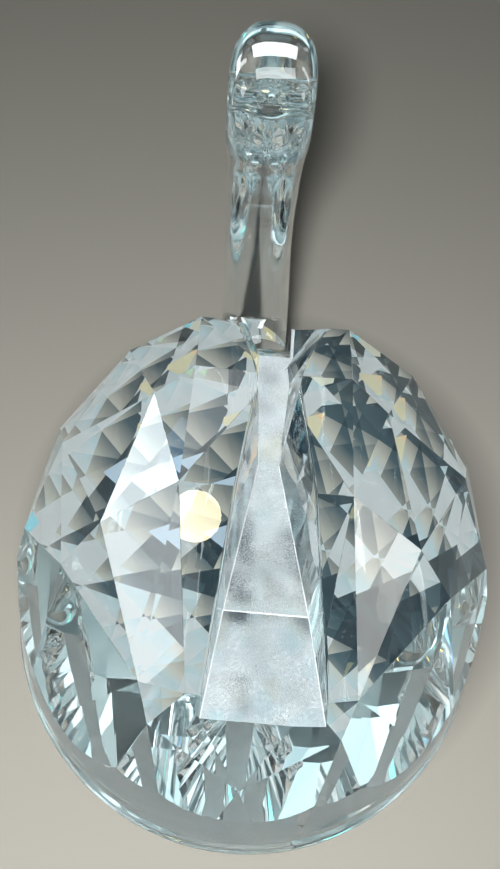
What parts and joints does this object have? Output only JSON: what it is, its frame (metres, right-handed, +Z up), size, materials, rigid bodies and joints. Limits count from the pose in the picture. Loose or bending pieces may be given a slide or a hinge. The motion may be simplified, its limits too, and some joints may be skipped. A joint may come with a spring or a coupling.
{
  "type": "crystal swan figurine",
  "caption": "Small swan figurine in clear cut crystal: a faceted body with raised wings, a ground channel between them, and a smooth curved neck.",
  "frame": {"origin": "centre of the flat underside", "axes": "+Z up, -Y the way the swan faces, +Y towards its tail"},
  "size_m": [0.0384, 0.0453, 0.0471],
  "materials": {
    "cut_crystal": "polished facets, ground channel floor",
    "moulded_crystal": "polished, smooth"
  },
  "bodies": {
    "root": {"body": "cut_crystal", "neck_and_head": "moulded_crystal"}
  },
  "joints": []
}
